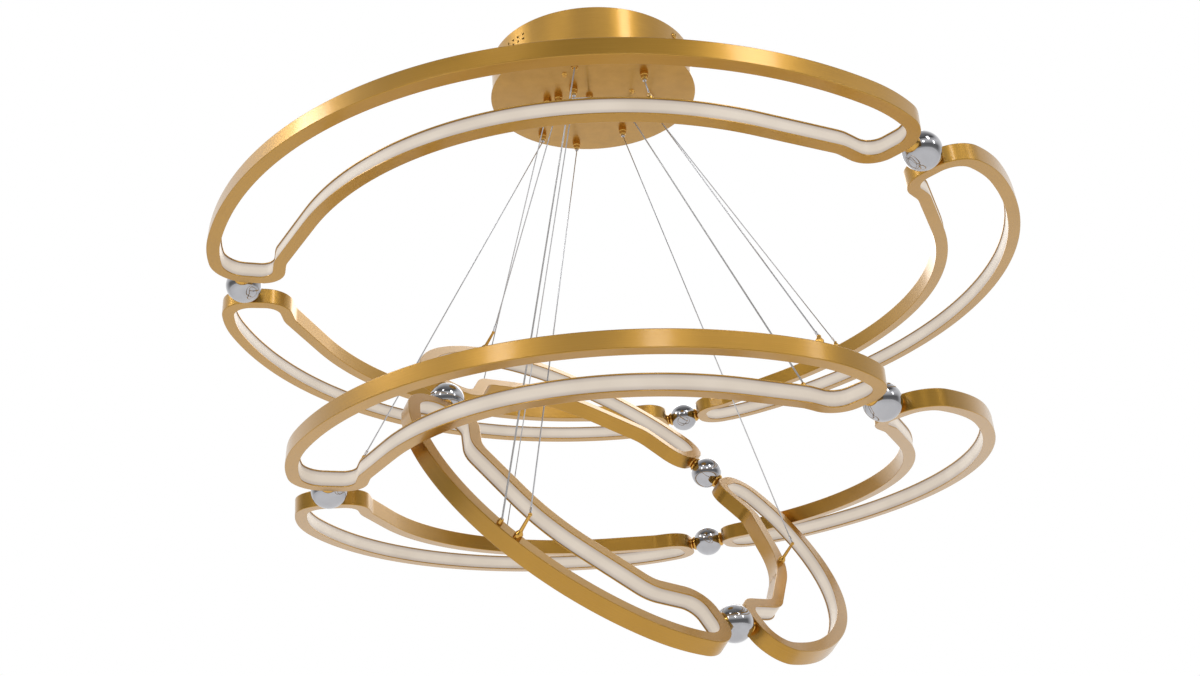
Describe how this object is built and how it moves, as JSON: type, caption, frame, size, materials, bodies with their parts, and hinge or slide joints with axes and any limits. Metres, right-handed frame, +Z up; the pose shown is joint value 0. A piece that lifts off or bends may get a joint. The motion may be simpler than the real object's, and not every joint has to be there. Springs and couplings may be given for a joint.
{
  "type": "led pendant light",
  "caption": "Hanging light: slotted gold loops with lit inner edges, joined by chrome balls into rings on thin cables under a round canopy.",
  "frame": {"origin": "centre of the canopy's ceiling face", "axes": "+Z up towards the ceiling, the light hangs towards -Z, -Y is the side the picture was taken from"},
  "size_m": [0.8974, 0.8965, 0.7394],
  "materials": {
    "brushed_gold": "brushed gold",
    "brass": "polished",
    "chrome": "mirror",
    "diffuser": "satin white",
    "light_strip": "coated circuit strip",
    "steel_cable": "twisted wire",
    "clear_cord": "clear sheath",
    "zinc_steel": "zinc plated",
    "driver_case": "moulded"
  },
  "bodies": {
    "canopy": {"ceiling_plate": "zinc_steel", "canopy_wall": "brushed_gold", "canopy_plate": "brushed_gold", "canopy_screws": "brass", "led_driver": "driver_case", "driver_screws": "brass", "cable_grips": "brass", "grip_nuts": "zinc_steel", "cord_glands": "brass"},
    "upper_ring": {"upper_channel_1": "brushed_gold", "upper_diffuser_1": "diffuser", "upper_cable_1": "steel_cable", "upper_channel_2": "brushed_gold", "upper_diffuser_2": "diffuser", "upper_cable_2": "steel_cable", "upper_channel_3": "brushed_gold", "upper_diffuser_3": "diffuser", "upper_cable_3": "steel_cable", "upper_strips": "light_strip", "upper_balls": "chrome", "upper_studs": "brass", "upper_fittings": "brass", "upper_cord": "clear_cord"},
    "middle_ring": {"middle_channel_1": "brushed_gold", "middle_diffuser_1": "diffuser", "middle_cable_1": "steel_cable", "middle_channel_2": "brushed_gold", "middle_diffuser_2": "diffuser", "middle_cable_2": "steel_cable", "middle_channel_3": "brushed_gold", "middle_diffuser_3": "diffuser", "middle_cable_3": "steel_cable", "middle_strips": "light_strip", "middle_balls": "chrome", "middle_studs": "brass", "middle_fittings": "brass", "middle_cord": "clear_cord"},
    "lower_ring": {"lower_channel_1": "brushed_gold", "lower_diffuser_1": "diffuser", "lower_cable_1": "steel_cable", "lower_channel_2": "brushed_gold", "lower_diffuser_2": "diffuser", "lower_cable_2": "steel_cable", "lower_channel_3": "brushed_gold", "lower_diffuser_3": "diffuser", "lower_cable_3": "steel_cable", "lower_strips": "light_strip", "lower_balls": "chrome", "lower_studs": "brass", "lower_fittings": "brass", "lower_cord": "clear_cord"},
    "sleeve_1": {"grip_sleeve_1": "brass"},
    "sleeve_2": {"grip_sleeve_2": "brass"},
    "sleeve_3": {"grip_sleeve_3": "brass"},
    "sleeve_4": {"grip_sleeve_4": "brass"},
    "sleeve_5": {"grip_sleeve_5": "brass"},
    "sleeve_6": {"grip_sleeve_6": "brass"},
    "sleeve_7": {"grip_sleeve_7": "brass"},
    "sleeve_8": {"grip_sleeve_8": "brass"},
    "sleeve_9": {"grip_sleeve_9": "brass"}
  },
  "joints": [
    {"name": "upper_height", "type": "slide", "parent": "canopy", "child": "upper_ring", "axis": [0, 0, 1], "range_m": [-0.04, 0.12], "deforming": ["upper_cable_1", "upper_cable_2", "upper_cable_3", "upper_cord"]},
    {"name": "middle_height", "type": "slide", "parent": "canopy", "child": "middle_ring", "axis": [0, 0, 1], "range_m": [-0.12, 0.06], "deforming": ["middle_cable_1", "middle_cable_2", "middle_cable_3", "middle_cord"]},
    {"name": "lower_height", "type": "slide", "parent": "canopy", "child": "lower_ring", "axis": [0, 0, 1], "range_m": [-0.12, 0.06], "deforming": ["lower_cable_1", "lower_cable_2", "lower_cable_3", "lower_cord"]},
    {"name": "sleeve_1_push", "type": "slide", "parent": "canopy", "child": "sleeve_1", "axis": [0, 0, 1], "range_m": [0, 0.002], "stiffness_N_per_m": 300, "springref_m": -0.003},
    {"name": "sleeve_2_push", "type": "slide", "parent": "canopy", "child": "sleeve_2", "axis": [0, 0, 1], "range_m": [0, 0.002], "stiffness_N_per_m": 300, "springref_m": -0.003},
    {"name": "sleeve_3_push", "type": "slide", "parent": "canopy", "child": "sleeve_3", "axis": [0, 0, 1], "range_m": [0, 0.002], "stiffness_N_per_m": 300, "springref_m": -0.003},
    {"name": "sleeve_4_push", "type": "slide", "parent": "canopy", "child": "sleeve_4", "axis": [0, 0, 1], "range_m": [0, 0.002], "stiffness_N_per_m": 300, "springref_m": -0.003},
    {"name": "sleeve_5_push", "type": "slide", "parent": "canopy", "child": "sleeve_5", "axis": [0, 0, 1], "range_m": [0, 0.002], "stiffness_N_per_m": 300, "springref_m": -0.003},
    {"name": "sleeve_6_push", "type": "slide", "parent": "canopy", "child": "sleeve_6", "axis": [0, 0, 1], "range_m": [0, 0.002], "stiffness_N_per_m": 300, "springref_m": -0.003},
    {"name": "sleeve_7_push", "type": "slide", "parent": "canopy", "child": "sleeve_7", "axis": [0, 0, 1], "range_m": [0, 0.002], "stiffness_N_per_m": 300, "springref_m": -0.003},
    {"name": "sleeve_8_push", "type": "slide", "parent": "canopy", "child": "sleeve_8", "axis": [0, 0, 1], "range_m": [0, 0.002], "stiffness_N_per_m": 300, "springref_m": -0.003},
    {"name": "sleeve_9_push", "type": "slide", "parent": "canopy", "child": "sleeve_9", "axis": [0, 0, 1], "range_m": [0, 0.002], "stiffness_N_per_m": 300, "springref_m": -0.003}
  ]
}
